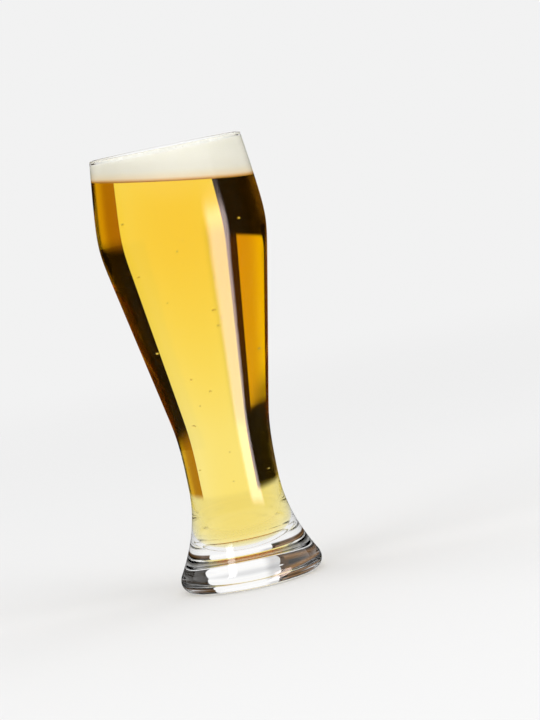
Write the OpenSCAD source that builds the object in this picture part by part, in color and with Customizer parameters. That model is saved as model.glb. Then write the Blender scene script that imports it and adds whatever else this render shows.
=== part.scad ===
// A filled wheat beer glass: a tall blown glass on a thick foot, the beer in it, its bubbles and its head of foam.
// Millimetres, +Z up. The origin is the centre of the foot's underside, and the glass stands upright.
// The drink is as it lies in a glass that leans: its surface drops towards +X and turns about the Y direction.

/* [Glass outside] */
// Height from the table to the top of the rim
glass_h = 188; // [184:1:196]
// Outside diameter at the rim
rim_d = 65; // [62:0.5:68]
// Outside diameter of the bulge below the rim
bulge_d = 71.8; // [70:0.1:76]
// Height of the widest place of the bulge
bulge_h = 152.5; // [148:0.5:156]
// Outside diameter of the waist
waist_d = 38.7; // [37:0.1:42]
// Height of the narrowest place of the waist
waist_h = 43; // [40:0.5:46]
// Outside diameter of the foot
foot_d = 61; // [58:0.5:66]
// Height of the widest place of the foot
foot_h = 4.6; // [4:0.1:5.2]
// Diameter of the ring that the foot stands on, outside
stand_d = 52.4; // [50:0.1:54]

/* [Glass inside] */
// Thickness of the wall at the rim
rim_wall = 1.7; // [1.4:0.1:2.2]
// Thickness of the wall at the waist
waist_wall = 2.6; // [2.2:0.1:3.2]
// Height of the lowest place inside the glass
floor_h = 12; // [10:0.5:14]
// Height where the rounded floor runs into the wall
floor_top_h = 24; // [22:0.5:28]
// Diameter of the hollow under the foot
hollow_d = 44; // [38:1:46]
// Depth of the hollow under the foot
hollow_depth = 2.2; // [1:0.1:3]

/* [Drink] */
// Height of the beer's surface on the glass's axis
beer_h = 174; // [168:0.1:176]
// Angle of the beer's surface, 0 in a glass that stands still and upright
surface_tilt = 8.9; // [0:0.1:10]
// How far the foam's top lies below the rim
foam_drop = 1.2; // [1:0.1:3]
// Film between the drink and the glass
drink_gap = 0.1; // [0.1:0.05:0.3]

/* [Bubbles] */
// How many bubbles rise through the beer
rising_count = 18; // [6:1:30]
// How many bubbles cling to the inside of the glass
clinging_count = 14; // [6:1:24]
// Diameter of the largest bubble
bubble_d = 1.1; // [0.8:0.1:1.3]

/* [Hidden] */
$fn = 128;

// Rim: a half round across the wall
rim_round = rim_wall / 2;
rim_seat_h = glass_h - rim_round;

// Foot: a round shoulder above its widest place, up to where the flare begins
shoulder_r = 6;
flare_turn = 30;
flare_h = foot_h + shoulder_r * sin(flare_turn);
flare_r = foot_d / 2 - shoulder_r * (1 - cos(flare_turn));

// Straight cone between the waist's curve and the bulge's curve
cone_low_h = waist_h + 29;
cone_low_r = waist_d / 2 + 1.85;
cone_high_h = bulge_h - 16.5;
cone_high_r = bulge_d / 2 - 2.2;
cone_slope = (cone_high_r - cone_low_r) / (cone_high_h - cone_low_h);

// The neck between the bulge and the rim
neck_h = bulge_h + 13.5;
neck_r = bulge_d / 2 - 0.9;
neck_slope = -0.105;
rim_slope = -0.13;

// Outside of the wall from the foot up: [height, radius, slope, steps down to the station before it]
STATIONS = [
    [flare_h, flare_r, -tan(flare_turn), 0],
    [waist_h, waist_d / 2, 0, 14],
    [cone_low_h, cone_low_r, cone_slope, 10],
    [cone_high_h, cone_high_r, cone_slope, 2],
    [bulge_h, bulge_d / 2, 0, 9],
    [neck_h, neck_r, neck_slope, 8],
    [rim_seat_h, rim_d / 2, rim_slope, 6],
];

// Shape of the rounded floor: 2 is an ellipse, more is squarer
floor_power = 2.5;
floor_steps = 16;
foot_steps = 10;
shoulder_steps = 5;
hollow_steps = 8;
rim_steps = 8;

// Radius between two stations, as a cubic that keeps both slopes
function cubic_r(a, b, z) =
    let (d = b[0] - a[0], t = (z - a[0]) / d)
    (2 * pow(t, 3) - 3 * pow(t, 2) + 1) * a[1]
    + (pow(t, 3) - 2 * pow(t, 2) + t) * d * a[2]
    + (3 * pow(t, 2) - 2 * pow(t, 3)) * b[1]
    + (pow(t, 3) - pow(t, 2)) * d * b[2];

function wall_r(z, i = 1) =
    z <= STATIONS[i][0] || i == len(STATIONS) - 1
        ? cubic_r(STATIONS[i - 1], STATIONS[i], z)
        : wall_r(z, i + 1);

function wall_t(z) =
    waist_wall + (rim_wall - waist_wall) * (z - waist_h) / (rim_seat_h - waist_h);

// Radius inside the glass: the wall's, then straight down from the waist into the rounded floor
function inside_r(z) =
    z >= waist_h ? wall_r(z) - wall_t(z)
    : z >= floor_top_h ? waist_d / 2 - waist_wall
    : (waist_d / 2 - waist_wall)
        * pow(1 - pow((floor_top_h - z) / (floor_top_h - floor_h), floor_power), 1 / floor_power);

function drink_r(z) = inside_r(z) - drink_gap;

// Heights of the outline's points along the wall, from the flare to the rim
wall_heights = [
    flare_h,
    for (i = [1:len(STATIONS) - 1])
        let (low = STATIONS[i - 1][0], step = (STATIONS[i][0] - low) / STATIONS[i][3])
            for (k = [1:STATIONS[i][3]])
                low + k * step,
];

// Heights of the outline's points inside, from the floor up, closer together where the floor is flat
inside_heights = [
    for (k = [1:floor_steps])
        floor_top_h - (floor_top_h - floor_h) * pow(cos(90 * k / floor_steps), 2 / floor_power),
    for (z = wall_heights)
        if (z >= waist_h) z,
];

// Outline of the glass, from the hollow's middle out over the foot, up, over the rim and down inside
glass_outline = concat(
    [for (k = [0:hollow_steps])
        let (r = hollow_d / 2 * k / hollow_steps)
            [r, hollow_depth * (1 - pow(2 * r / hollow_d, 2))]],
    [for (k = [0:foot_steps])
        let (a = 90 * k / foot_steps)
            [stand_d / 2 + (foot_d - stand_d) / 2 * sin(a), foot_h * (1 - cos(a))]],
    [for (k = [1:shoulder_steps - 1])
        let (a = flare_turn * k / shoulder_steps)
            [foot_d / 2 - shoulder_r * (1 - cos(a)), foot_h + shoulder_r * sin(a)]],
    [for (z = wall_heights) [wall_r(z), z]],
    [for (k = [1:rim_steps - 1])
        let (a = 180 * k / rim_steps)
            [rim_d / 2 - rim_round * (1 - cos(a)), rim_seat_h + rim_round * sin(a)]],
    [for (k = [len(inside_heights) - 1:-1:0]) [inside_r(inside_heights[k]), inside_heights[k]]],
    [[0, floor_h]]
);

// Outline of everything that the glass holds, up to a height: clear of the wall, and lifted clear of the floor
function drink_outline(top) = concat(
    [[0, floor_h + drink_gap]],
    [for (z = inside_heights) if (z < top) [drink_r(z), z <= floor_top_h ? z + drink_gap : z]],
    [[drink_r(top), top], [0, top]]
);

foam_top_h = rim_seat_h + rim_round - foam_drop;

// Where the bubbles are: turned by the golden angle, so that they spread with no pattern, as [x, y, z, diameter]
golden_angle = 137.5;
golden_part = 0.618;
bubble_skin = 0.02;
lowest_bubble_h = 40;
highest_bubble_h = 162;

function spread(i, count) = lowest_bubble_h + (highest_bubble_h - lowest_bubble_h) * (i + 0.5) / count;
function part_of(i, k) = (i * golden_part * k) % 1;
function bubble_size(i) = bubble_d * (0.55 + 0.45 * part_of(i, 5));

rising_spots = [
    for (i = [0:rising_count - 1])
        let (z = spread(i, rising_count), r = 0.75 * drink_r(z) * sqrt(part_of(i, 3)), a = golden_angle * i)
            [r * cos(a), r * sin(a), z, bubble_size(i)]
];
clinging_spots = [
    for (i = [0:clinging_count - 1])
        let (
            z = spread(i, clinging_count),
            d = 0.7 * bubble_size(i + 3),
            r = drink_r(z) - d,
            a = golden_angle * i + 60
        )
            [r * cos(a), r * sin(a), z, d]
];

module bubbles(spots, skin = 0) {
    for (s = spots)
        translate([s[0], s[1], s[2]])
            sphere(d = s[3] + 2 * skin, $fn = 48);
}

// Everything that lies above the beer's surface
module above_surface() {
    translate([0, 0, beer_h])
        rotate([0, surface_tilt, 0])
            translate([-foot_d, -foot_d, 0])
                cube([2 * foot_d, 2 * foot_d, foot_d]);
}

module drink(top) {
    rotate_extrude()
        polygon(drink_outline(top));
}

module glass() {
    color([0.86, 0.92, 0.93, 0.4])
        rotate_extrude()
            polygon(glass_outline);
}

module beer() {
    color([0.96, 0.68, 0.12, 0.85])
        difference() {
            drink(foam_top_h);
            above_surface();
            bubbles(rising_spots, bubble_skin);
            bubbles(clinging_spots, bubble_skin);
        }
}

module foam_head() {
    color([0.98, 0.96, 0.9])
        intersection() {
            drink(foam_top_h);
            above_surface();
        }
}

module rising_bubbles() {
    color([1, 0.93, 0.7])
        bubbles(rising_spots);
}

module clinging_bubbles() {
    color([1, 0.95, 0.8])
        bubbles(clinging_spots);
}

glass();
beer();
foam_head();
rising_bubbles();
clinging_bubbles();
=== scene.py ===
# %% [markdown]
# A filled wheat beer glass. The real thing is one piece of blown glass, tall and narrow, with a bulge
# under the rim and a thick clear foot. In it stand the beer, its bubbles and a white head of foam. The
# measured model is loaded first and never changed: every piece below is drawn round it, in metres, in
# the same frame.

# %% Load the measured model
import bisect
import math
import random

import bmesh
import bpy
from mathutils import Matrix, Vector, kdtree


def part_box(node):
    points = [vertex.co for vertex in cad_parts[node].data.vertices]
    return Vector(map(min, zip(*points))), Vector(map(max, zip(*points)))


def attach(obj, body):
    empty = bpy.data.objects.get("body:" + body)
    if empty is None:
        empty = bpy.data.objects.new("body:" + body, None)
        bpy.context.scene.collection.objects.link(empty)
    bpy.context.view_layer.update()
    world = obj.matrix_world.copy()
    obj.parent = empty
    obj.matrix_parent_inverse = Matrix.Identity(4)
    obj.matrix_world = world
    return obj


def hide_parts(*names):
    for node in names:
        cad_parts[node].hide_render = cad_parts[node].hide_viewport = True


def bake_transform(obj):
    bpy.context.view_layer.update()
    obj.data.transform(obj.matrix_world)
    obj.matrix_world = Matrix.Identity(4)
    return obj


MM = 0.001
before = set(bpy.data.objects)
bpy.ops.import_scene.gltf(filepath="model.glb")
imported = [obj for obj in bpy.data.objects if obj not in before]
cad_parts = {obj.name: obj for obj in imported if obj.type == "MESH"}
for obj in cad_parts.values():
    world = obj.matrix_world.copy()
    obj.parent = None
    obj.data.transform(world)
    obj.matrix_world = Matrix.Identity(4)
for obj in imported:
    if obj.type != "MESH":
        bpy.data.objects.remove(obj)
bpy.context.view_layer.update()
scene = bpy.context.scene
scene.view_settings.view_transform = "Standard"
print("nodes:", ", ".join(sorted(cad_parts)))

# %% [markdown]
# The camera stands where the photograph was taken from: a long lens, a little above the glass, and
# rolled, so that the upright glass leans to the left in the picture. Setting the camera's matrix from
# its three directions is plainer here than turning it by three angles.

# %% Camera
CAMERA_AT = Vector((0.0255, -1.4, 0.2096))
AIMED_AT = Vector((0.0255, 0, 0.0904))
ROLL = math.radians(11.58)
LENS_MM = 165.7

forward = (AIMED_AT - CAMERA_AT).normalized()
level_right = forward.cross(Vector((0, 0, 1))).normalized()
level_up = level_right.cross(forward)
right = level_right * math.cos(ROLL) - level_up * math.sin(ROLL)
up = level_up * math.cos(ROLL) + level_right * math.sin(ROLL)
turned = Matrix((right, up, -forward)).transposed().to_4x4()

camera = bpy.data.objects.new("camera", bpy.data.cameras.new("camera"))
camera.data.lens = LENS_MM
camera.matrix_world = Matrix.Translation(CAMERA_AT) @ turned
scene.collection.objects.link(camera)
scene.camera = camera
print(f"camera {(AIMED_AT - CAMERA_AT).length:.2f} m away, lens {LENS_MM} mm")

# %% [markdown]
# Glass shows what is round it, so the room is half of its look. A world of one pale grey is the
# backdrop. Light Path tells who looks: the camera sees that grey, gloss and glass see nearly the same
# one, and matt surfaces are lit by a darker one. So the backdrop can be pale without too much light on
# the foam.

# %% World
BACKDROP = 0.887
SEEN_THROUGH_GLASS = 0.9
SKY_LIGHT = 0.77

world = bpy.data.worlds.new("pale_room")
world.use_nodes = True
scene.world = world
tree = world.node_tree
tree.nodes.clear()


def background(tree, level):
    """A plain grey background shader."""
    node = tree.nodes.new("ShaderNodeBackground")
    node.inputs["Color"].default_value = (level, level, level, 1)
    return node.outputs[0]


def either(tree, a, b):
    """1 where one of two yes-or-no values is 1."""
    node = tree.nodes.new("ShaderNodeMath")
    node.operation = "MAXIMUM"
    tree.links.new(a, node.inputs[0])
    tree.links.new(b, node.inputs[1])
    return node.outputs[0]


def choose(tree, switch, no, yes):
    """The first shader where the switch is 0, the second where it is 1."""
    node = tree.nodes.new("ShaderNodeMixShader")
    tree.links.new(switch, node.inputs[0])
    tree.links.new(no, node.inputs[1])
    tree.links.new(yes, node.inputs[2])
    return node.outputs[0]


rays = tree.nodes.new("ShaderNodeLightPath").outputs
gloss_or_glass = either(tree, rays["Is Glossy Ray"], rays["Is Transmission Ray"])
on_matt = background(tree, SKY_LIGHT)
lit = choose(tree, gloss_or_glass, on_matt, background(tree, SEEN_THROUGH_GLASS))
shown = choose(tree, rays["Is Camera Ray"], lit, background(tree, BACKDROP))
tree.links.new(shown, tree.nodes.new("ShaderNodeOutputWorld").inputs["Surface"])
print("backdrop", BACKDROP, "light on matt surfaces", SKY_LIGHT)

# %% [markdown]
# The floor is a pale disc that fades out at its rim, so it has no horizon and still takes the glass's
# shadow. The fade is a gradient of the distance from the middle, which mixes the matt floor with a
# clear shader.

# %% Floor
FLOOR_COLOUR = (0.8, 0.8, 0.8, 1)
FLOOR_RADIUS = 1.2
FLOOR_SIDES = 96
FLOOR_DROP = 0.05 * MM
FADE_FROM = 0.35


def new_finish(name):
    """A new node material and its Principled shader."""
    material = bpy.data.materials.new(name)
    material.use_nodes = True
    return material, material.node_tree.nodes["Principled BSDF"]


bpy.ops.mesh.primitive_circle_add(
    vertices=FLOOR_SIDES, radius=FLOOR_RADIUS, fill_type="NGON", location=(0, 0, -FLOOR_DROP)
)
floor = bpy.context.object
floor.name = "floor"
paper, shader = new_finish("pale_paper")
tree = paper.node_tree
shader.inputs["Base Color"].default_value = FLOOR_COLOUR
shader.inputs["Roughness"].default_value = 1
shader.inputs["Specular IOR Level"].default_value = 0
place = tree.nodes.new("ShaderNodeTexCoord").outputs["Object"]
from_middle = tree.nodes.new("ShaderNodeVectorMath")
from_middle.operation = "LENGTH"
tree.links.new(place, from_middle.inputs[0])
fade = tree.nodes.new("ShaderNodeMapRange")
fade.interpolation_type = "SMOOTHSTEP"
fade.inputs["From Min"].default_value = FADE_FROM
fade.inputs["From Max"].default_value = FLOOR_RADIUS
tree.links.new(from_middle.outputs["Value"], fade.inputs["Value"])
clear = tree.nodes.new("ShaderNodeBsdfTransparent").outputs[0]
faded = choose(tree, fade.outputs["Result"], shader.outputs[0], clear)
tree.links.new(faded, tree.nodes["Material Output"].inputs["Surface"])
floor.data.materials.append(paper)
floor.visible_glossy = floor.visible_transmission = False
print(f"floor {2 * FLOOR_RADIUS} m across, fading from {FADE_FROM} m out")

# %% [markdown]
# Four large soft lamps light the foam and the floor evenly: two in front, one on each side of the
# camera, and two weaker ones behind, for the back of the head and its edges. They are hidden from gloss
# and glass, because what those show is set by cards of their own.

# %% Lamps
GLASS_MIDDLE = Vector((0, 0, 0.1))
LAMP_SIZE = 1.2


def soft_lamp(name, place, power):
    """A square lamp that points at the glass."""
    lamp = bpy.data.objects.new(name, bpy.data.lights.new(name, "AREA"))
    lamp.data.size = LAMP_SIZE
    lamp.data.energy = power
    lamp.location = place
    lamp.rotation_euler = (GLASS_MIDDLE - Vector(place)).to_track_quat("-Z", "Y").to_euler()
    lamp.visible_glossy = lamp.visible_transmission = False
    scene.collection.objects.link(lamp)
    print(f"{name}: {power} W at {place}")


soft_lamp("soft_lamp_right", (1.3, -0.9, 0.5), 14)
soft_lamp("soft_lamp_left", (-1.25, -1, 0.5), 11.5)
soft_lamp("soft_lamp_back_right", (1.3, 0.7, 0.5), 5)
soft_lamp("soft_lamp_back_left", (-1.3, 0.7, 0.5), 7)

# %% [markdown]
# Photographers shape glass with cards: dark ones draw bands into the beer, a bright one draws the long
# highlight. Each card here is a piece of a wide cylinder round the glass. Its bearings count from
# straight behind the glass, to the right as positive, and its bottom and top are angles above the
# level. It is a fine grid whose points store their colours, which lets a card fade.

# %% A card's shape
CARD_CELLS = 72
CARD_DISTANCE = 8
EYE_H = 0.14


def ease(value, low, high):
    """A smooth step from 0 at low to 1 at high."""
    t = min(max((value - low) / (high - low), 0), 1)
    return t * t * (3 - 2 * t)


def card_mesh(name, bearings, bottom, top, shade, distance):
    """A curved grid. shade gives its colour at (bearing, angle above the level)."""
    bm = bmesh.new()
    shades = bm.verts.layers.float_color.new("shade")
    columns = []
    for i in range(CARD_CELLS + 1):
        across = i / CARD_CELLS
        bearing = bearings[0] + (bearings[1] - bearings[0]) * across
        x, y = math.sin(math.radians(bearing)), math.cos(math.radians(bearing))
        column = []
        for k in range(CARD_CELLS + 1):
            angle = bottom + (top - bottom) * k / CARD_CELLS
            height = EYE_H + distance * math.tan(math.radians(angle))
            vert = bm.verts.new((x * distance, y * distance, height))
            vert[shades] = (*shade(bearing, angle), 1)
            column.append(vert)
        columns.append(column)
    for one, two in zip(columns, columns[1:]):
        for k in range(CARD_CELLS):
            bm.faces.new((one[k], two[k], two[k + 1], one[k + 1]))
    mesh = bpy.data.meshes.new(name)
    bm.to_mesh(mesh)
    bm.free()
    return mesh


print("cells in a card:", CARD_CELLS**2)

# %% [markdown]
# A card glows in its stored colours, but only gloss and glass can see it, so it lights nothing. Light
# Path counts the clear surfaces that a ray has passed and the times it was mirrored. A test of such a
# count can limit a card further, for instance to rays that crossed the beer. To all other rays the
# card is clear.

# %% Make a card


def card_finish(name, only_for):
    """A glow in the stored colours, clear to each ray that fails a test in only_for."""
    material = bpy.data.materials.new(name)
    material.use_nodes = True
    material.cycles.emission_sampling = "NONE"
    tree = material.node_tree
    tree.nodes.clear()
    stored = tree.nodes.new("ShaderNodeAttribute")
    stored.attribute_name = "shade"
    emission = tree.nodes.new("ShaderNodeEmission")
    tree.links.new(stored.outputs["Color"], emission.inputs["Color"])
    shown = emission.outputs[0]
    for count, test, limit in only_for:
        passes = tree.nodes.new("ShaderNodeMath")
        passes.operation = test
        passes.inputs[1].default_value = limit
        rays = tree.nodes.new("ShaderNodeLightPath").outputs
        tree.links.new(rays[count], passes.inputs[0])
        clear = tree.nodes.new("ShaderNodeBsdfTransparent").outputs[0]
        shown = choose(tree, passes.outputs[0], clear, shown)
    tree.links.new(shown, tree.nodes.new("ShaderNodeOutputMaterial").inputs["Surface"])
    return material


def card(name, bearings, bottom, top, shade, distance=CARD_DISTANCE, only_for=()):
    """A curved card that only gloss and glass can see."""
    ob = bpy.data.objects.new(name, card_mesh(name, bearings, bottom, top, shade, distance))
    scene.collection.objects.link(ob)
    ob.visible_camera = ob.visible_diffuse = ob.visible_shadow = False
    ob.data.materials.append(card_finish(name, only_for))
    print(f"{name}: {bearings[0]} to {bearings[1]} degrees")
    return ob


# %% [markdown]
# A full glass is a strong lens: what stands behind it on the left is seen on the right, and the other
# way round. White straight behind makes the beer glow. Dark colours on both sides draw the dark bands
# inside its edges, with amber on the right, where the bulge looks, and a yellow window on the left.
# Towards the bottom all run out into the pale room. In each ease below, a change starts and ends at the
# two angles in degrees.

# %% Colours behind the glass
WHITE = Vector((1, 1, 1))
ROOM = WHITE * SEEN_THROUGH_GLASS
BLACK = Vector((0, 0, 0))
SHADOW = Vector((0.011, 0.0065, 0.001))
DEEP_BROWN = Vector((0.06, 0.023, 0.001))
BROWN = Vector((0.1, 0.05, 0.02))
TAN = Vector((0.3, 0.17, 0.08))
AMBER = Vector((0.42, 0.19, 0.01))
LIGHT_AMBER = Vector((0.78, 0.45, 0.01))
BRIGHT_YELLOW = Vector((1.2, 0.82, 0.01))
STRIP_DIMS = 0.34
TOP_DIMS = 0.25
AMBER_LIGHTENS = 0.9
SILL_FROM = 20.5
SILL_START = 2.5
SILL_CLIMB = 4.5 / 25.5
SILL_KICK = 4
SILL_BLUR = 0.45


def run_out(colour, angle):
    """The colour, which turns into the room's towards a card's bottom."""
    return colour.lerp(ROOM, ease(-angle, 11, 16))


def backdrop_shade(bearing, angle):
    """White, less so where the long highlight lies over it, and near the top."""
    under_strip = ease(-bearing, 6.5, 11.5) * ease(angle, -4, 2)
    near_top = ease(angle, 10, 24)
    return run_out(WHITE * (1 - STRIP_DIMS * under_strip) * (1 - TOP_DIMS * near_top), angle)


def post_shade(bearing, angle):
    return run_out(SHADOW.lerp(DEEP_BROWN, ease(angle, 1, 4)), angle)


def window_shade(bearing, angle):
    """Dark, with a yellow window above a sill that climbs away from the middle."""
    away = -bearing
    sill = SILL_START + SILL_CLIMB * (away - SILL_FROM) + SILL_KICK * ease(away, 47, 56)
    lintel = ease(angle, 9.8, 10.4) * (1 - ease(away, 47, 50))
    frame_colour = SHADOW.lerp(BROWN, ease(away, 40, 54) * ease(-angle, -4, 4))
    pane = LIGHT_AMBER.lerp(BRIGHT_YELLOW, ease(away, 26, 50)).lerp(BROWN, lintel)
    return run_out(frame_colour.lerp(pane, ease(angle - sill, -SILL_BLUR, SILL_BLUR)), angle)


def far_shade(bearing, angle):
    """Dark, browner below, and turning into the room far out."""
    colour = SHADOW.lerp(BROWN, ease(-angle, -4, 4))
    return run_out(colour.lerp(ROOM, ease(abs(bearing), 66, 94)), angle)


def amber_shade(bearing, angle):
    """Amber below and dark above, with a dark edge, and turning into the room far out."""
    amber = AMBER.lerp(LIGHT_AMBER, AMBER_LIGHTENS * ease(bearing, 32, 46))
    colour = SHADOW.lerp(amber, ease(-angle, -3, 4) * (1 - ease(bearing, 47.5, 54.5)))
    return run_out(colour.lerp(ROOM, ease(bearing, 66, 94)), angle)


def low_shade(bearing, angle):
    return TAN.lerp(BROWN, ease(angle, -22, -14))


def black_shade(bearing, angle):
    return BLACK


print("the window's sill starts at", SILL_START, "degrees")

# %% [markdown]
# The cards stand side by side behind the glass. A ray that crosses the beer passes four surfaces or
# more, one that only crosses the clear foot passes fewer, and that tells them apart. Yellow and amber
# are for the beer alone. For the foot, dark cards stand a little nearer in the same places, and a low
# brown one stands close behind it. Two black ones in front are where light goes that is mirrored inside
# the beer, and they keep the dark bands dark.

# %% Cards seen through the glass
CARD_BOTTOM, CARD_TOP = -16, 20
BACKDROP_TOP = 26
WHITE_ENDS_RIGHT = 24.2
WHITE_ENDS_LEFT = -15.6
POST_ENDS = -21.2
WINDOW_ENDS = -58
SIDES_END = 94
NEARER = CARD_DISTANCE - 0.1
CLOSE = 0.3
SURFACES_TO_BEER = 4
THROUGH_FOOT = [("Transmission Depth", "LESS_THAN", SURFACES_TO_BEER)]
THROUGH_BEER = [("Transmission Depth", "GREATER_THAN", SURFACES_TO_BEER - 1)]
MIRRORED_IN_BEER = [*THROUGH_BEER, ("Glossy Depth", "GREATER_THAN", 0)]

to_post = (WHITE_ENDS_LEFT, POST_ENDS)
to_window = (POST_ENDS, WINDOW_ENDS)
to_right = (WHITE_ENDS_RIGHT, SIDES_END)
seen_through = [
    card("backdrop", (WHITE_ENDS_RIGHT, WHITE_ENDS_LEFT), CARD_BOTTOM, BACKDROP_TOP, backdrop_shade),
    card("dark_post", to_post, CARD_BOTTOM, CARD_TOP, post_shade),
    card("window_card_left", to_window, CARD_BOTTOM, CARD_TOP, window_shade, only_for=THROUGH_BEER),
    card("dark_card_left", to_window, CARD_BOTTOM, CARD_TOP, far_shade, NEARER, THROUGH_FOOT),
    card("dark_card_far_left", (WINDOW_ENDS, -SIDES_END), CARD_BOTTOM, CARD_TOP, far_shade),
    card("amber_card_right", to_right, CARD_BOTTOM, CARD_TOP, amber_shade, only_for=THROUGH_BEER),
    card("dark_card_right", to_right, CARD_BOTTOM, CARD_TOP, far_shade, NEARER, THROUGH_FOOT),
    card("brown_card_low", (-15.5, -62), -25, -12.5, low_shade, CLOSE, THROUGH_FOOT),
    card("dark_front_right", (131, 152), 4, 36, black_shade, only_for=MIRRORED_IN_BEER),
    card("dark_front_left", (-133, -152), -26, 36, black_shade, only_for=MIRRORED_IN_BEER),
]
for ob in seen_through:
    ob.visible_glossy = False

# %% [markdown]
# On its outside the glass is a mirror that gives back a few hundredths of the light. A tall bright
# strip on the right becomes the long highlight, and a small bright card high up puts a glint on the
# foot. Dark cards at both sides keep the edges of the glass thin and dark, because there it reflects
# most, and a dim one in front keeps the beer's colour deep. Over the foam all of them fade into the
# room.

# %% Cards that the glass reflects
DIM = WHITE * 0.4
STRIP_COLOUR = Vector((9, 7.2, 6.8))
GLINT_COLOUR = Vector((8, 8, 8))
GLOSS_BOTTOM = -60


def over_foam(angle):
    return ease(angle, 9.5, 12.5)


def front_shade(bearing, angle):
    return DIM.lerp(ROOM, over_foam(angle))


def strip_shade(bearing, angle):
    """Bright in its middle, dim on the camera's side and black on the other."""
    peak = ease(-bearing, -149, -138) * ease(-angle, -11, -2)
    lit_share = max(ease(bearing, 111, 117), over_foam(angle))
    return front_shade(bearing, angle).lerp(STRIP_COLOUR, peak) * lit_share


def side_shade(bearing, angle):
    """Black, between the room straight behind and the dim card in front on the left."""
    away = abs(bearing)
    in_front = ease(-bearing, 94, 108)
    shade = ROOM.lerp(BLACK.lerp(DIM, in_front), ease(away, 4, 12))
    return shade.lerp(ROOM, ease(away, 55, 85) * over_foam(angle))


def glint_shade(bearing, angle):
    """Bright, with soft edges."""
    across = ease(-bearing, 132, 137) * ease(bearing, -152, -147)
    upwards = ease(angle, 30, 34) * ease(-angle, -55, -51)
    return ROOM.lerp(GLINT_COLOUR, across * upwards)


reflected = [
    card("bright_strip", (109, 149), GLOSS_BOTTOM, CARD_TOP, strip_shade),
    card("dim_front", (149, 252), GLOSS_BOTTOM, CARD_TOP, front_shade),
    card("glint", (-132, -152), 30, 55, glint_shade),
    card("dark_side_right", (4, 109), GLOSS_BOTTOM, CARD_TOP, side_shade),
    card("dark_side_left", (-4, -108), GLOSS_BOTTOM, CARD_TOP, side_shade),
]
for ob in reflected:
    ob.visible_transmission = False

# %% [markdown]
# Everything in this object is turned about one axis, so one outline gives its shape. The measured glass
# has that outline already: its mesh has a seam along the +X side. Walking the seam's edges from the
# hollow under the foot, out over the rim and down to the floor inside gives the outline as a row of
# points.

# %% Read the outline
TINY = 1e-6


def seam_of(node):
    """A turned node's seam as (radius, height) points, from its lower end on the axis to its upper one."""
    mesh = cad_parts[node].data
    points = {
        v.index: (round(v.co.x, 7), round(v.co.z, 7))
        for v in mesh.vertices
        if abs(v.co.y) < TINY and v.co.x > -TINY
    }
    beside = {}
    for edge in mesh.edges:
        a, b = (points.get(i) for i in edge.vertices)
        if a and b and a != b:
            beside.setdefault(a, set()).add(b)
            beside.setdefault(b, set()).add(a)
    ends = sorted((p for p in beside if len(beside[p]) == 1), key=lambda p: p[1])
    walk = [ends[0]]
    while walk[-1] != ends[-1]:
        walk.append((beside[walk[-1]] - set(walk[-2:])).pop())
    return [Vector(p) for p in walk]


seam = seam_of("glass")
print(len(seam), "points along the glass's seam")

# %% [markdown]
# The measured outline has flat steps, and glass would show each one as a bright line. A smooth curve
# through the same points removes them: each stretch is a cubic whose ends follow the neighbours'
# directions, and it is cut finer where it turns more.

# %% Smooth the outline
LONGEST_STEP = 4 * MM
TURN_PER_STEP = math.radians(3)


def mirrored(point):
    return Vector((-point.x, point.y))


def direction(before, at, after):
    """The direction of a smooth curve through three points."""
    a, b = at - before, after - at
    return (a.normalized() * b.length + b.normalized() * a.length).normalized()


def flowing(points):
    """A smooth, finely cut curve through points that start and end on the axis."""
    row = [mirrored(points[1]), *points, mirrored(points[-2])]
    ways = [direction(*row[i - 1 : i + 2]) for i in range(1, len(row) - 1)]
    curve = []
    for a, b, way_a, way_b in zip(points, points[1:], ways, ways[1:]):
        length = (b - a).length
        cuts = max(1, math.ceil(length / LONGEST_STEP), math.ceil(way_a.angle(way_b) / TURN_PER_STEP))
        for cut in range(cuts):
            t = cut / cuts
            spot = (
                a * (2 * t**3 - 3 * t**2 + 1)
                + way_a * length * (t**3 - 2 * t**2 + t)
                + b * (3 * t**2 - 2 * t**3)
                + way_b * length * (t**3 - t**2)
            )
            curve.append(Vector((max(spot.x, 0), max(spot.y, 0))))
    return curve + [points[-1]]


outline = flowing(seam)
print(len(outline), "points along the smooth outline")

# %% [markdown]
# A pile of rings becomes a skin by joining each ring to the next with quads. A ring that is a single
# point closes an end. The Screw modifier could turn an outline as well, but rings can also follow a
# slanting surface, which the beer needs.

# %% Turn rings into a skin
STEPS = 192


def turns(steps):
    """Even angles round the axis."""
    return [2 * math.pi * k / steps for k in range(steps)]


def ring(radius, height, steps=STEPS):
    """Points round the axis, or a single point on it."""
    if radius < TINY:
        return [Vector((0, 0, height))]
    return [Vector((radius * math.cos(t), radius * math.sin(t), height)) for t in turns(steps)]


def skin(name, rings):
    """A closed mesh through a pile of rings, the lowest first, whose ends are single points."""
    verts, faces, starts = [], [], []
    for points in rings:
        starts.append(len(verts))
        verts.extend(points)
    for one, two, a, b in zip(rings, rings[1:], starts, starts[1:]):
        count = max(len(one), len(two))
        for k in range(count):
            n = (k + 1) % count
            if len(one) == 1:
                faces.append((a, b + n, b + k))
            elif len(two) == 1:
                faces.append((a + k, a + n, b))
            else:
                faces.append((a + k, a + n, b + n, b + k))
    mesh = bpy.data.meshes.new(name)
    mesh.from_pydata(verts, [], faces)
    mesh.validate()
    mesh.shade_smooth()
    ob = bpy.data.objects.new(name, mesh)
    scene.collection.objects.link(ob)
    print(f"{name}: {len(mesh.vertices)} points, {len(mesh.polygons)} faces")
    return ob


# %% [markdown]
# The glass is the whole outline, turned. Its faces point outwards from the glass itself: out of the
# outer wall and into the bowl.

# %% The glass
glass = skin("clear_glass_body", [ring(p.x, p.y) for p in outline])
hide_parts("glass")
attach(glass, "glass")
glass.visible_shadow = False

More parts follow.
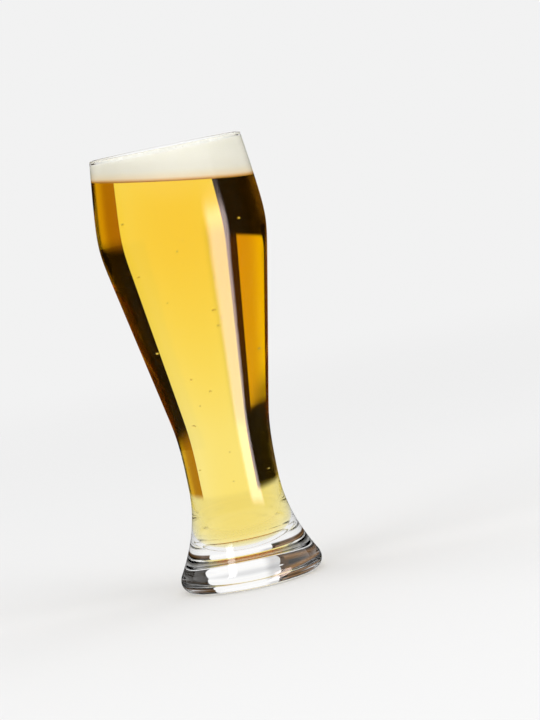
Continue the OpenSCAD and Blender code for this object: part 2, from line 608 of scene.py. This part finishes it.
# %% [markdown]
# Clear glass is a shader that lets all light through and bends it by its index, 1.52 for plain soda
# glass. A blown wall is never quite even, so a faint wide ripple goes into its normals. All that is
# clear in this object, glass, beer or gas, starts from the same few settings, so one function makes
# them.

# %% Glass material
GLASS_INDEX = 1.52
RIPPLES_PER_M = 30
RIPPLE_HEIGHT = 0.05 * MM


def see_through(name, index, roughness=0):
    """A finish that lets all light through and bends it by its index."""
    material, shader = new_finish(name)
    shader.inputs["Base Color"].default_value = (1, 1, 1, 1)
    shader.inputs["Roughness"].default_value = roughness
    shader.inputs["IOR"].default_value = index
    shader.inputs["Transmission Weight"].default_value = 1
    return material


clear_glass = see_through("clear_glass", GLASS_INDEX)
tree = clear_glass.node_tree
ripple = tree.nodes.new("ShaderNodeTexNoise")
ripple.inputs["Scale"].default_value = RIPPLES_PER_M
ripple.inputs["Detail"].default_value = 1
place = tree.nodes.new("ShaderNodeTexCoord").outputs["Object"]
tree.links.new(place, ripple.inputs["Vector"])
bump = tree.nodes.new("ShaderNodeBump")
bump.inputs["Distance"].default_value = RIPPLE_HEIGHT
tree.links.new(ripple.outputs["Fac"], bump.inputs["Height"])
tree.links.new(bump.outputs["Normal"], tree.nodes["Principled BSDF"].inputs["Normal"])
glass.data.materials.append(clear_glass)
print("glass index", GLASS_INDEX, "ripple", RIPPLE_HEIGHT / MM, "mm high")

# %% [markdown]
# Below the foam's edge the inner wall touches beer, not air. Light that goes from glass to beer bends
# by the ratio of their two indexes, which is close to 1, so this wall hardly reflects. That ratio is
# the index of a second material on the wetted faces. The beer's own skin then need not bend the light
# again.

# %% Wetted inside of the glass
BEER_INDEX = 1.34
FOAM_EDGE_DROP = 0.5 * MM

foam_edge_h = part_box("foam_head")[1][2] - FOAM_EDGE_DROP
rim = max(range(len(outline)), key=lambda i: outline[i].y)
# The first point lies on the axis, and each ring after it has as many points as there are steps.
inside_starts = 1 + rim * STEPS
wetted_glass = see_through("wetted_glass", GLASS_INDEX / BEER_INDEX)
glass.data.materials.append(wetted_glass)
wetted = 0
for face in glass.data.polygons:
    if max(face.vertices) > inside_starts and face.center.z < foam_edge_h:
        face.material_index = 1
        wetted += 1
print(wetted, "wetted faces")

# %% [markdown]
# A glass that is used stands on a ring that is no longer clear. Tables have scuffed it, so its few
# faces get the same glass with a rough surface.

# %% Scuffed ring under the foot
SCUFFED_ROUGHNESS = 0.3

scuffed_glass = see_through("scuffed_glass", GLASS_INDEX, SCUFFED_ROUGHNESS)
glass.data.materials.append(scuffed_glass)
scuffed = 0
for face in glass.data.polygons:
    if all(glass.data.vertices[i].co.z < TINY for i in face.vertices):
        face.material_index = 2
        scuffed += 1
print(scuffed, "scuffed faces")

# %% [markdown]
# The beer's surface slants in the measured model, as it does in a glass that is held at a lean. Its
# slope and height are read from the measured beer's top face.

# %% Find the beer's surface
FACES_UP = 0.9

upward_faces = [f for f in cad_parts["beer"].data.polygons if f.normal.z > FACES_UP]
top_face = max(upward_faces, key=lambda f: f.center.z)
surface_up = top_face.normal.copy()
surface_h = top_face.center.dot(surface_up) / surface_up.z
surface_slope = surface_up.x / surface_up.z
surface_middle = Vector((0, 0, surface_h))
surface_lean = math.degrees(math.atan(surface_slope))
print(f"surface {surface_h / MM:.1f} mm up, slanting {surface_lean:.1f} degrees")

# %% [markdown]
# The drink fills the glass to a thin film's width from the wall, as in the measured model. Its skin is
# the inner part of the outline, moved inwards by that film.

# %% The drink's skin
FILM = 0.1 * MM

inner_outline = outline[rim:][::-1]
befores = [mirrored(inner_outline[1]), *inner_outline]
drink_skin = []
for before, at, after in zip(befores, inner_outline, inner_outline[1:]):
    way = direction(before, at, after)
    inwards = Vector((-way.y, way.x))
    drink_skin.append(at + inwards * FILM)
drink_skin[0].x = 0
skin_heights = [p.y for p in drink_skin]


def skin_radius(height):
    """Radius of the drink's skin at a height above its floor."""
    i = min(max(bisect.bisect(skin_heights, height), 1), len(skin_heights) - 1)
    low, high = drink_skin[i - 1], drink_skin[i]
    return low.x + (high.x - low.x) * (height - low.y) / (high.y - low.y)


print(f"skin {skin_radius(surface_h) / MM:.1f} mm from the axis at the surface")

# %% [markdown]
# The surface can tip in the glass, and points that turn with it would cut into the wall. So next to the
# surface the drink's side stands a little back from the skin. That gap isn't seen, because only the
# wall bends the light.

# %% Room to tip
TIP_ROOM = 0.8 * MM
FULL_ROOM = 3 * MM
ROOM_ENDS_BELOW = 12 * MM
ROOM_ENDS_ABOVE = 9 * MM
EDGE_ROUNDS = 12


def side_radius(turn, height):
    """Radius of the drink's side at one turn about the axis and one height."""
    above = height - surface_h + surface_slope * skin_radius(height) * math.cos(turn)
    room_ends = ROOM_ENDS_ABOVE if above > 0 else ROOM_ENDS_BELOW
    return skin_radius(height) - TIP_ROOM * (1 - ease(abs(above), FULL_ROOM, room_ends))


def surface_edge(turn, drop=0):
    """Where the slanting surface, or a plane a little below it, meets the drink's side."""
    height = surface_h
    for _ in range(EDGE_ROUNDS):
        radius = skin_radius(height) - TIP_ROOM
        height = surface_h - drop - surface_slope * radius * math.cos(turn)
    return Vector((radius * math.cos(turn), radius * math.sin(turn), height))


print(f"surface from {surface_edge(0).z / MM:.1f} to {surface_edge(math.pi).z / MM:.1f} mm up")

# %% [markdown]
# Level rings fill the glass up to below the surface. From there the rings lean more and more, until the
# last one lies in the slanting surface, and smaller copies of that one close it.

# %% The beer
LEVEL_TOP = 140 * MM
LEANING_RINGS = 24
SURFACE_RINGS = 10
BEER_SHARP = math.radians(50)


def leaning_rings(bottoms, tops, count):
    """Rings that follow the drink's side from one row of points up to another, without the first row."""
    rings = []
    for k in range(1, count + 1):
        row = []
        for low, high in zip(bottoms, tops):
            height = low.z + (high.z - low.z) * k / count
            turn = math.atan2(high.y, high.x)
            radius = side_radius(turn, height)
            row.append(Vector((radius * math.cos(turn), radius * math.sin(turn), height)))
        rings.append(row)
    return rings


def shrinking_rings(edge, middle, count):
    """Copies of a ring that shrink to its middle."""
    copies = [[middle.lerp(p, 1 - k / count) for p in edge] for k in range(1, count)]
    return copies + [[middle.copy()]]


level = [ring(p.x, p.y) for p in drink_skin if p.y < LEVEL_TOP]
edge = [surface_edge(t) for t in turns(STEPS)]
leaning = leaning_rings(level[-1], edge, LEANING_RINGS)
surface = shrinking_rings(edge, surface_middle, SURFACE_RINGS)
beer = skin("golden_beer_body", level + leaning + surface)
beer.data.set_sharp_from_angle(angle=BEER_SHARP)

# %% [markdown]
# The measured bubbles are two nodes of small separate spheres. Their middles and sizes are read back by
# sorting each node's points into connected groups, and each bubble is then drawn as a real one is: a
# little flattened as it rises, and smooth.

# %% Find the bubbles


def bubbles_of(node):
    """Middle and radius of each separate ball in a node."""
    bm = bmesh.new()
    bm.from_mesh(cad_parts[node].data)
    bmesh.ops.remove_doubles(bm, verts=bm.verts, dist=TINY)
    waiting, balls = set(bm.verts), []
    while waiting:
        group, edge_of_group = set(), [waiting.pop()]
        while edge_of_group:
            vert = edge_of_group.pop()
            group.add(vert)
            near = {e.other_vert(vert) for e in vert.link_edges} & waiting
            waiting -= near
            edge_of_group.extend(near)
        low = Vector([min(v.co[i] for v in group) for i in range(3)])
        high = Vector([max(v.co[i] for v in group) for i in range(3)])
        balls.append(((low + high) / 2, (high.z - low.z) / 2))
    bm.free()
    return sorted(balls, key=lambda ball: ball[0].z)


bubble_nodes = {node: bubbles_of(node) for node in ("rising_bubbles", "clinging_bubbles")}
print({node: len(spots) for node, spots in bubble_nodes.items()})

# %% [markdown]
# A bubble needs two surfaces to look right: a hole in the beer, where the light is bent, and the gas
# that fills it. The holes are balls with their faces turned inwards that belong to the beer's own mesh.

# %% Bubble holes and gas
FLATTENED = 0.9
GAS_SHARE = 0.96
BALL_CUTS = 3


def add_balls(bm, spots, share, inwards=False):
    """Adds slightly flattened balls to a mesh."""
    for middle, radius in spots:
        shape = Matrix.Translation(middle) @ Matrix.Diagonal((share, share, share * FLATTENED, 1))
        made = bmesh.ops.create_icosphere(bm, subdivisions=BALL_CUTS, radius=radius, matrix=shape)
        faces = list({f for v in made["verts"] for f in v.link_faces})
        for face in faces:
            face.smooth = True
            face.material_index = 1 if inwards else 0
        if inwards:
            bmesh.ops.reverse_faces(bm, faces=faces)


bm = bmesh.new()
bm.from_mesh(beer.data)
for spots in bubble_nodes.values():
    add_balls(bm, spots, 1, inwards=True)
bm.to_mesh(beer.data)
bm.free()

gas_pieces = []
for node, spots in bubble_nodes.items():
    bm = bmesh.new()
    add_balls(bm, spots, GAS_SHARE)
    mesh = bpy.data.meshes.new(f"{node}_gas")
    bm.to_mesh(mesh)
    bm.free()
    gas = bpy.data.objects.new(f"{node}_gas", mesh)
    scene.collection.objects.link(gas)
    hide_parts(node)
    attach(gas, "drink")
    gas_pieces.append(gas)
print("gas pieces:", [ob.name for ob in gas_pieces])

# %% [markdown]
# Beer is clear, and its gold comes from the way through it: blue is lost first, then green. Volume
# Absorption does that by depth, so the thin waist is paler than the bulge, which a surface colour could
# not do. An index of 1 leaves light unbent at the beer's skin and in the gas, because the wall and the
# holes bend it already.

# %% Beer and gas materials
BEER_GOLD = (0.997, 0.864, 0.0, 1)
BEER_DENSITY = 52
UNBENT = 1

golden_beer = see_through("golden_beer", UNBENT)
tree = golden_beer.node_tree
absorption = tree.nodes.new("ShaderNodeVolumeAbsorption")
absorption.inputs["Color"].default_value = BEER_GOLD
absorption.inputs["Density"].default_value = BEER_DENSITY
tree.links.new(absorption.outputs[0], tree.nodes["Material Output"].inputs["Volume"])
beer.data.materials.append(golden_beer)

bubble_wall = see_through("bubble_wall", BEER_INDEX)
beer.data.materials.append(bubble_wall)

bubble_gas = see_through("bubble_gas", UNBENT)
for gas in gas_pieces:
    gas.data.materials.append(bubble_gas)
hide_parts("beer")
print("beer index", BEER_INDEX, "density", BEER_DENSITY)

# %% [markdown]
# The head is a froth of small bubbles, packed against the wall and the beer. From the side it is smooth
# and creamy. From above, single bubbles show as low domes. Turning each place by the golden angle
# spreads them evenly, and a small shift and an uneven size take the pattern away. A tree of their
# places finds the domes near a point quickly.

# %% Places of the foam's domes
DOME_SEED = 7
DOME_COUNT = 900
DOME_SHIFT = 0.6
SMALLEST_DOME = 0.45
DOME_SPREAD = 1.1
FEW_ARE_LARGE = 2.5
GOLDEN_TURN = math.pi * (3 - math.sqrt(5))

foam_r = skin_radius(foam_edge_h)
dice = random.Random(DOME_SEED)
domes = []
for k in range(DOME_COUNT):
    reach = foam_r * math.sqrt((k + 0.5) / DOME_COUNT)
    turn = GOLDEN_TURN * k
    shift = Vector((dice.uniform(-1, 1), dice.uniform(-1, 1))) * DOME_SHIFT * MM
    size = (SMALLEST_DOME + DOME_SPREAD * dice.random() ** FEW_ARE_LARGE) * MM
    spot = Vector((reach * math.cos(turn) + shift.x, reach * math.sin(turn) + shift.y, 0))
    domes.append((spot, size))
near_domes = kdtree.KDTree(len(domes))
for k, (spot, size) in enumerate(domes):
    near_domes.insert(spot, k)
near_domes.balance()
largest_dome = max(size for spot, size in domes)
print(len(domes), f"domes, the largest {2 * largest_dome / MM:.1f} mm across")

# %% [markdown]
# The foam is a pile of rings again. Its underside lies a hair below the beer's surface, so that no gap
# opens between them, its side follows the wall, and its top bulges a little. Each point of the top
# rises with the highest dome over it, so the froth is real shape there and not only a pattern of
# shading.

# %% The foam
FOAM_STEPS = 512
FOAM_CROWN = 0.7 * MM
FOAM_SUNK = 0.2 * MM
DOME_SHARE = 0.45
FLAT_EDGE = 0.02
WALL_RINGS = 22
TOP_RINGS = 88
UNDER_RINGS = 10
FOAM_SHARP = math.radians(60)


def dome_height(x, y):
    """How far the foam's domes rise over one point of its top."""
    best = 0
    for spot, k, away in near_domes.find_range((x, y, 0), largest_dome):
        size = domes[k][1]
        if away < size:
            best = max(best, math.sqrt(size * size - away * away) - (1 - DOME_SHARE) * size)
    return best


def foam_top(point, share):
    """A point of the foam's top, at a share of the way out to the wall."""
    x, y = point.x * share, point.y * share
    rise = FOAM_CROWN * (1 - share * share) + dome_height(x, y) * ease(1 - share, 0, FLAT_EDGE)
    return Vector((x, y, foam_edge_h + rise))


under_edge = [surface_edge(t, drop=FOAM_SUNK) for t in turns(FOAM_STEPS)]
under_middle = surface_middle - Vector((0, 0, FOAM_SUNK))
under = shrinking_rings(under_edge, under_middle, UNDER_RINGS)[::-1] + [under_edge]
top_edge = ring(foam_r, foam_edge_h, FOAM_STEPS)
wall = leaning_rings(under_edge, top_edge, WALL_RINGS)
top = [[foam_top(p, 1 - k / TOP_RINGS) for p in wall[-1]] for k in range(1, TOP_RINGS)]
top.append([foam_top(top_edge[0], 0)])
foam = skin("foam_head_body", under + wall + top)
foam.data.set_sharp_from_angle(angle=FOAM_SHARP)
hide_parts("foam_head")

# %% [markdown]
# Where foam, beer and wall meet, the foam carries painted shade and light: a thin brown line of painted
# shade, then peach, a painted glow of amber light from the beer, then the foam's own cream. A picture
# could paint that, but the line has to follow a slanting edge. So each point of the foam stores how far it
# is from that edge, and a colour ramp in its material turns the distance into a colour.

# %% Distance from the edge, for painted shade and light
# How far the painted shade and the painted amber light reach from the edge.
PAINTED_BAND_REACH = 5 * MM

from_edge = foam.data.attributes.new("from_edge", "FLOAT", "POINT")
for vert in foam.data.vertices:
    above_beer = (vert.co - surface_middle).dot(surface_up)
    from_wall = side_radius(math.atan2(vert.co.y, vert.co.x), vert.co.z) - vert.co.xy.length
    from_edge.data[vert.index].value = min(max(above_beer, from_wall, 0) / PAINTED_BAND_REACH, 1)
print(sum(stored.value < 1 for stored in from_edge.data), "painted_band points")

# %% [markdown]
# Light goes into foam, is scattered among its bubbles and comes out again a little way off, which is
# what subsurface scattering does. The finest bubbles are too small to model, so they are a bump made of
# small cells.

# %% Foam material
# From the edge outwards: a brown stop of painted shade, orange and peach stops of painted amber light from
# the beer, then the foam's own cream.
FOAM_AND_PAINTED_BAND_COLOURS = [
    (0.04, (0.55, 0.25, 0.03, 1)),
    (0.12, (0.83, 0.55, 0.25, 1)),
    (0.3, (0.92, 0.78, 0.57, 1)),
    (0.75, (0.95, 0.878, 0.74, 1)),
    (1, (0.96, 0.898, 0.79, 1)),
]
FOAM_ROUGHNESS = 0.6
FOAM_GLOSS = 0.25
LIGHT_SPREADS = 2 * MM
FOAM_CELLS_PER_M = 1400
CELL_STRENGTH = 0.25
CELL_DEPTH = 0.2 * MM

white_foam, shader = new_finish("white_foam")
tree = white_foam.node_tree
stored = tree.nodes.new("ShaderNodeAttribute")
stored.attribute_name = "from_edge"
colours = tree.nodes.new("ShaderNodeValToRGB")
stops = colours.color_ramp.elements
while len(stops) < len(FOAM_AND_PAINTED_BAND_COLOURS):
    stops.new(0.5)
for stop, (place, colour) in zip(stops, FOAM_AND_PAINTED_BAND_COLOURS):
    stop.position = place
    stop.color = colour
tree.links.new(stored.outputs["Fac"], colours.inputs["Fac"])
tree.links.new(colours.outputs["Color"], shader.inputs["Base Color"])
shader.inputs["Roughness"].default_value = FOAM_ROUGHNESS
shader.inputs["Specular IOR Level"].default_value = FOAM_GLOSS
shader.inputs["Subsurface Weight"].default_value = 1
shader.inputs["Subsurface Radius"].default_value = (1, 1, 1)
shader.inputs["Subsurface Scale"].default_value = LIGHT_SPREADS
cells = tree.nodes.new("ShaderNodeTexVoronoi")
cells.inputs["Scale"].default_value = FOAM_CELLS_PER_M
place = tree.nodes.new("ShaderNodeTexCoord").outputs["Object"]
tree.links.new(place, cells.inputs["Vector"])
bump = tree.nodes.new("ShaderNodeBump")
bump.invert = True
bump.inputs["Strength"].default_value = CELL_STRENGTH
bump.inputs["Distance"].default_value = CELL_DEPTH
tree.links.new(cells.outputs["Distance"], bump.inputs["Height"])
tree.links.new(bump.outputs["Normal"], shader.inputs["Normal"])
foam.data.materials.append(white_foam)
print(f"foam cells {1 / FOAM_CELLS_PER_M / MM:.2f} mm wide")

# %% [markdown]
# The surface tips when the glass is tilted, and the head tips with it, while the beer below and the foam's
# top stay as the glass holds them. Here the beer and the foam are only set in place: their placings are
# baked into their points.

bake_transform(beer)
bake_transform(foam)

# %% [markdown]
# Light crosses many surfaces in a full glass, so paths may be long.

# %% Light paths and the end
LONGEST_PATH = 32
MOST_MIRRORS = 8
MOST_CLEAR_CARDS = 16

scene.cycles.max_bounces = LONGEST_PATH
scene.cycles.transmission_bounces = LONGEST_PATH
scene.cycles.glossy_bounces = MOST_MIRRORS
scene.cycles.transparent_max_bounces = MOST_CLEAR_CARDS
print("light paths of up to", LONGEST_PATH, "bounces")
